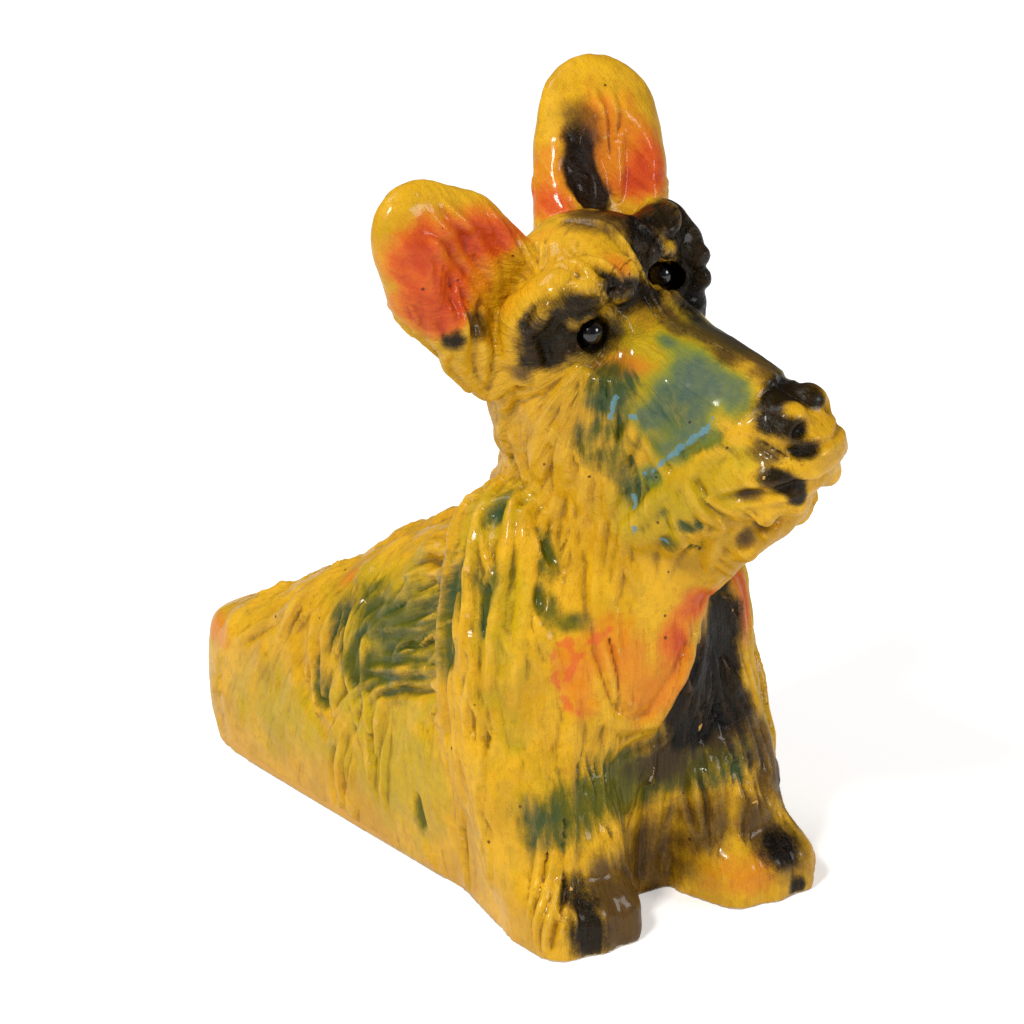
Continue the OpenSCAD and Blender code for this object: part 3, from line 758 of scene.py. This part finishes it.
# Paint and relief pass from the uncut skin to the halves
layers = {
    "black": black, "brown": brown, "pink": pink, "blush": blush, "green": green, "moss": moss, "teal": teal,
    "chip": chip, "scribble": scribble, "worn": worn, "relief": relief, "on_face": on_face,
    "on_front": on_front, "hangs": hangs(Y, Z),
}
for ob in (skin, other):
    co, _ = points_of(ob)
    found = [finder.find(p) for p in co]
    ids = np.array([k for _, k, _ in found])
    off = np.array([d for _, _, d in found])
    for name, values in layers.items():
        ob.data.attributes.new(name, "FLOAT", "POINT").data.foreach_set("value", values[ids].astype(np.float32))
    for name, places in combed.items():
        comb = ob.data.attributes.new(name, "FLOAT_VECTOR", "POINT")
        comb.data.foreach_set("vector", places[ids].astype(np.float32).ravel())
    # what lies off the old skin was cut open, and is bare plaster but for the eye sockets
    painted = np.where((off < 0.35) | (off_eyes(co) < 4.5), 1.0, 0.0) * (co[:, 2] > 0.05)
    ob.data.attributes.new("painted", "FLOAT", "POINT").data.foreach_set("value", painted.astype(np.float32))
    only(ob)
    bpy.ops.object.shade_smooth_by_angle(angle=SMOOTH_ANGLE)


# Materials
def rgb(r, g, b):
    """A colour as it is seen on a screen, 0 to 255."""
    return tuple(((c / 255 + 0.055) / 1.055) ** 2.4 if c > 10 else c / 255 / 12.92 for c in (r, g, b)) + (1.0,)


class Wire:
    """A value on its way through a material. Sums written with it add their nodes."""

    def __init__(self, finish, socket):
        self.finish, self.socket = finish, socket

    def sum(self, operation, *terms):
        return self.finish.node("ShaderNodeMath", {"operation": operation}, dict(enumerate(terms)))[0]

    def __add__(self, other):
        return self.sum("ADD", self, other)

    def __sub__(self, other):
        return self.sum("SUBTRACT", self, other)

    def __rsub__(self, other):
        return self.sum("SUBTRACT", other, self)

    def __mul__(self, other):
        return self.sum("MULTIPLY", self, other)

    __radd__, __rmul__ = __add__, __mul__


class Finish:
    """One material, made from nodes."""

    def __init__(self, name):
        self.material = bpy.data.materials.new(name)
        self.material.use_nodes = True
        self.tree = self.material.node_tree
        self.tree.nodes.clear()
        self.place = self.node("ShaderNodeTexCoord", {}, {})["Object"]

    def node(self, kind, settings, inputs):
        """Adds a node, sets it, fills its sockets, and returns its outputs by name and number."""
        made = self.tree.nodes.new(kind)
        for key, value in settings.items():
            setattr(made, key, value)
        for key, value in inputs.items():
            if isinstance(value, Wire):
                self.tree.links.new(value.socket, made.inputs[key])
            else:
                made.inputs[key].default_value = value
        outs = {k: Wire(self, o) for k, o in enumerate(made.outputs)}
        for o in made.outputs:
            outs.setdefault(o.name, Wire(self, o))
        return outs

    def layer(self, name):
        """How much of a layer lies at the points of the skin."""
        return self.node("ShaderNodeAttribute", {"attribute_name": name}, {})["Fac"]

    def comb(self, name):
        return self.node("ShaderNodeAttribute", {"attribute_name": name}, {})["Vector"]

    def blend(self, share, a, b):
        return a + (b - a) * share

    def speckle(self, size, detail=2.0, rough=0.5, stretch=None, place=None):
        """Noise whose grains have that size in millimetres."""
        place = place or self.place
        if stretch:
            place = self.node("ShaderNodeMapping", {}, {"Vector": place, "Scale": stretch})["Vector"]
        grain = {"Vector": place, "Scale": 1 / (size * MM), "Detail": detail, "Roughness": rough}
        return self.node("ShaderNodeTexNoise", {}, grain)[0]

    def step(self, value, lo, hi):
        """From 0 where the value is lo to 1 where it is hi, with soft ends."""
        soft = {"interpolation_type": "SMOOTHSTEP"}
        return self.node("ShaderNodeMapRange", soft, {0: value, 1: lo, 2: hi})["Result"]

    def mix(self, share, a, b, blend="MIX"):
        return self.node("ShaderNodeMix", {"data_type": "RGBA", "blend_type": blend}, {0: share, 6: a, 7: b})[2]

    def bump(self, height, depth):
        rise = {"Height": height, "Distance": depth * MM, "Strength": 1.0}
        return self.node("ShaderNodeBump", {}, rise)["Normal"]

    def done(self, **sockets):
        """Closes the material with a shader that has these sockets set."""
        named = {k.replace("_", " "): v for k, v in sockets.items()}
        shader = self.node("ShaderNodeBsdfPrincipled", {}, named)["BSDF"]
        self.node("ShaderNodeOutputMaterial", {}, {"Surface": shader})
        return self.material


def painted_plaster():
    m = Finish("painted_plaster")
    fine, mid, broad = m.speckle(0.3, 3, 0.65), m.speckle(1.3, 3, 0.6), m.speckle(9, 3, 0.55)
    spray = m.speckle(0.2, 2, 0.8)
    back, flank, front, face_hair = [
        m.speckle(1.15, 3, 0.62, place=m.comb("comb_" + part)) for part in ("back", "flank", "front", "face")]
    strand = m.blend(m.layer("on_front"), m.blend(m.layer("hangs"), back, flank), front)
    strand = m.blend(m.layer("on_face"), strand, face_hair)
    relief = m.layer("relief")
    # how high a place stands, in the modelled hair and in the fine hair together
    height = relief * 0.6 + (strand - 0.5) * 1.6

    def paint(name, lo, hi, spatter=0.4, gather=0.12):
        """Sprayed paint: grainy at the edge, and thinner on what stands out."""
        return m.step(m.layer(name) + (spray - 0.5) * spatter + (mid - 0.5) * 0.25 - height * gather, lo, hi)

    # the ground coat, with its stains, painted shade in the hollows and a painted highlight on the ridges
    yellow, ochre, mustard, amber = rgb(228, 173, 22), rgb(206, 153, 12), rgb(188, 148, 14), rgb(208, 128, 12)
    lime, umber, painted_hollow_shade, painted_ridge_highlight = rgb(176, 158, 2), rgb(128, 88, 2), rgb(124, 82, 2), rgb(248, 200, 74)
    colour = m.mix(m.step(broad, 0.35, 0.65), yellow, ochre)
    colour = m.mix(m.step(m.layer("moss") + (mid - 0.5) * 0.5 - height * 0.25, 0.1, 1.1) * 0.8, colour, lime)
    colour = m.mix(m.step(m.speckle(3.5, 4, 0.7), 0.48, 0.64) * 0.42, colour, mustard)
    colour = m.mix(m.step(mid, 0.52, 0.72) * 0.3, colour, amber)
    colour = m.mix(m.step(spray + (mid - 0.5) * 0.3, 0.54, 0.68) * 0.34, colour, umber)
    # painted shade: darker brown in the hollows of the hair
    colour = m.mix(m.step(height * -1 + (fine - 0.5) * 0.25, 0.05, 0.65) * 0.7, colour, painted_hollow_shade)
    # painted highlight: paler cream on what stands out
    colour = m.mix(m.step(height + (fine - 0.5) * 0.2, 0.15, 0.75) * 0.35, colour, painted_ridge_highlight)
    # the reds
    orange, red, blood, scrawl = rgb(222, 112, 16), rgb(216, 68, 20), rgb(168, 24, 4), rgb(220, 70, 44)
    colour = m.mix(paint("blush", 0.2, 1.0, 0.3, 0.15) * 0.75, colour, orange)
    colour = m.mix(paint("pink", 0.1, 0.9) * 0.8, colour, red)
    colour = m.mix(paint("pink", 0.6, 1.05, 0.3, 0.45) * 0.5, colour, blood)
    colour = m.mix(paint("scribble", 0.3, 0.95, 0.9, 0.3) * 0.5, colour, scrawl)
    # the greens, then the browns and blacks over them
    deep_green = m.mix(m.step(broad, 0.42, 0.6), rgb(70, 80, 6), rgb(34, 70, 40))
    colour = m.mix(paint("green", 0.1, 0.95, 0.45, 0.5) * 0.93, colour, deep_green)
    olive, sea = rgb(124, 134, 40), rgb(54, 90, 84)
    teal = m.mix(m.step(m.layer("teal") + (mid - 0.5) * 0.3 + (broad - 0.5) * 0.5, 0.5, 1.05), olive, sea)
    colour = m.mix(paint("teal", 0.1, 0.85, 0.35, 0.05) * 0.94, colour, teal)
    earth, soot, painted_black_highlight = rgb(56, 34, 14), rgb(6, 3, 1), rgb(60, 37, 16)
    colour = m.mix(paint("brown", 0.15, 0.9, 0.35, 0.2) * 0.9, colour, earth)
    black = paint("black", 0.25, 0.75, 0.35, 0.14)
    # the black turns a lighter brown on what stands out: a painted highlight on its lumps
    colour = m.mix(black * 0.98, colour, m.mix(m.step(height + (mid - 0.5), 0.1, 0.8), soot, painted_black_highlight))
    # what shows where the paint is chipped or worn
    pale_blue, scuffed, pit = rgb(98, 146, 160), rgb(222, 172, 88), rgb(84, 38, 8)
    chipped = m.step(m.layer("chip") + (fine - 0.5) * 0.9 + (mid - 0.5) * 0.9, 0.5, 0.8)
    colour = m.mix(chipped * 0.8, colour, pale_blue)
    worn = m.step(m.layer("worn") + (fine - 0.5) * 0.6 + (mid - 0.5) * 0.3, 0.45, 0.6)
    colour = m.mix(worn * 0.8, colour, scuffed)
    # air bubbles that broke open in the cast
    cells = m.node("ShaderNodeTexVoronoi", {}, {"Vector": m.place, "Scale": 1 / (3.4 * MM), "Randomness": 1.0})
    lucky = m.node("ShaderNodeSeparateColor", {}, {"Color": cells["Color"]})[0]
    hole = m.step(lucky, 0.8, 0.82) * m.step(cells["Distance"] * -1 + (fine - 0.5) * 0.05, -0.09, -0.05)
    colour = m.mix(hole * 0.8, colour, pit)
    # bare plaster inside and under the rim
    painted = m.step(m.layer("painted") + (mid - 0.5) * 0.3, 0.35, 0.6)
    bare = m.mix(m.step(mid, 0.35, 0.65), rgb(226, 214, 196), rgb(204, 188, 166))
    colour = m.mix(painted, bare, colour)
    gloss = painted * (1 - worn * 0.7)
    rough = 0.84 - gloss * 0.38 + (mid - 0.5) * 0.25 - black * 0.18
    skin_bump = strand * 1.7 + mid * 0.4 + fine * 0.25 - hole * 1.2 - worn * 0.2 + m.speckle(0.6, 2, 0.5) * 0.3
    return m.done(
        Base_Color=colour, Roughness=rough, Specular_IOR_Level=0.2, IOR=1.46,
        Coat_Weight=gloss * (0.3 - black * 0.16), Coat_Roughness=0.12, Normal=m.bump(skin_bump, 0.36))


def raw_plaster(name, light, dark, lump):
    m = Finish(name)
    mid, fine = m.speckle(1.6, 3, 0.6), m.speckle(0.35, 3, 0.7)
    sweep = m.speckle(lump, 2, 0.5, (1, 0.25, 1))
    colour = m.mix(m.step(mid * 0.6 + sweep * 0.4, 0.38, 0.62), light, dark)
    colour = m.mix(m.step(fine, 0.62, 0.75) * 0.5, colour, rgb(150, 128, 104))
    rise = sweep * 0.8 + mid * 0.3 + fine * 0.15
    return m.done(Base_Color=colour, Roughness=0.8 + (mid - 0.5) * 0.2, Normal=m.bump(rise, 0.5))


def glass_bead():
    m = Finish("eye_black")
    smear = m.speckle(0.9, 3, 0.6)
    colour = m.mix(m.step(smear, 0.5, 0.7) * 0.5, rgb(8, 7, 8), rgb(30, 24, 22))
    return m.done(
        Base_Color=colour, Roughness=0.1 + smear * 0.16, Coat_Weight=0.6, Coat_Roughness=0.05,
        Normal=m.bump(smear, 0.02))


def dress(ob, material):
    ob.data.materials.clear()
    ob.data.materials.append(material)


paint_finish = painted_plaster()
for ob, node in ((skin, "right_half_shell"), (other, "left_half_shell")):
    dress(ob, paint_finish)
    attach(ob, body)
    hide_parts(node)
dress(frame["nodes"]["base_plug"], raw_plaster("raw_plaster", rgb(222, 206, 184), rgb(198, 178, 150), 5))
dress(frame["nodes"]["seam_slip"], raw_plaster("slip_plaster", rgb(232, 224, 210), rgb(212, 200, 182), 3))
bead = glass_bead()
for node in ("right_eye", "left_eye"):
    dress(frame["nodes"][node], bead)


# Floor, lamps and camera
def lamp(name, place, aim, size, power, tint):
    light = bpy.data.lights.new(name, "AREA")
    light.size, light.energy, light.color = size, power, tint
    ob = bpy.data.objects.new(name, light)
    scene.collection.objects.link(ob)
    ob.location = place
    ob.rotation_euler = (Vector(aim) - Vector(place)).to_track_quat("-Z", "Y").to_euler()


# degrees up and round, metres away from its aim, and millimetres of lens on a 36 mm sensor
CAMERA_LIFT, CAMERA_ROUND, CAMERA_OFF = 20, -35, 0.815
CAMERA_AIM = Vector((0.00406, -0.00299, 0.05216))
CAMERA_LENS, CAMERA_SENSOR = 175.78, 36
# light of the floor to the eye alone, of the room, and of the room as the varnish mirrors it
FLOOR_GLOW, ROOM_LIGHT, ROOM_IN_VARNISH = 0.36, 0.38, 0.08
FLOOR_SIZE = 6

lift, round_ = math.radians(CAMERA_LIFT), math.radians(CAMERA_ROUND)
back = Vector((math.cos(lift) * math.sin(round_), -math.cos(lift) * math.cos(round_), math.sin(lift)))
lens = bpy.data.cameras.new("camera")
lens.lens, lens.sensor_width, lens.sensor_fit, lens.clip_start = CAMERA_LENS, CAMERA_SENSOR, "HORIZONTAL", 0.05
camera = bpy.data.objects.new("camera", lens)
scene.collection.objects.link(camera)
camera.location = CAMERA_AIM + back * CAMERA_OFF
camera.rotation_euler = back.to_track_quat("Z", "Y").to_euler()
scene.camera = camera

bpy.ops.object.select_all(action="DESELECT")
bpy.ops.mesh.primitive_plane_add(size=FLOOR_SIZE, location=(0, 0, -0.02 * MM))
floor = bpy.context.object
floor.name = "floor"
f = Finish("floor_paper")
pale = f.node("ShaderNodeBsdfDiffuse", {}, {"Color": (0.9, 0.9, 0.9, 1)})["BSDF"]
seen = f.node("ShaderNodeLightPath", {}, {})["Is Camera Ray"]
glow = f.node("ShaderNodeEmission", {}, {"Color": (1, 1, 1, 1), "Strength": seen * FLOOR_GLOW})["Emission"]
lit = f.node("ShaderNodeAddShader", {}, {0: pale, 1: glow})["Shader"]
f.node("ShaderNodeOutputMaterial", {}, {"Surface": lit})
dress(floor, f.material)

lamp("key", (-0.7, -0.35, 0.85), (0, -0.01, 0.06), 0.16, 7.6, (1, 0.99, 0.95))
lamp("fill", (0.6, -0.9, 0.5), (0, -0.01, 0.06), 0.3, 3.3, (1, 1, 1))
lamp("top", (-0.3, 0.4, 0.9), (0, 0, 0.06), 0.4, 3.0, (1, 1, 1))
world = bpy.data.worlds.new("studio")
world.use_nodes = True
sky = world.node_tree.nodes["Background"]
ray = world.node_tree.nodes.new("ShaderNodeLightPath")
# plain white behind the figure, and a darker room in its varnish
levels = world.node_tree.nodes.new("ShaderNodeMapRange")
levels.inputs["To Min"].default_value, levels.inputs["To Max"].default_value = ROOM_LIGHT, ROOM_IN_VARNISH
world.node_tree.links.new(ray.outputs["Is Glossy Ray"], levels.inputs["Value"])
lift_up = world.node_tree.nodes.new("ShaderNodeMath")
lift_up.operation = "ADD"
world.node_tree.links.new(levels.outputs["Result"], lift_up.inputs[0])
world.node_tree.links.new(ray.outputs["Is Camera Ray"], lift_up.inputs[1])
world.node_tree.links.new(lift_up.outputs["Value"], sky.inputs["Strength"])
sky.inputs["Color"].default_value = (1, 1, 1, 1)
scene.world = world
scene.view_settings.view_transform = "Standard"
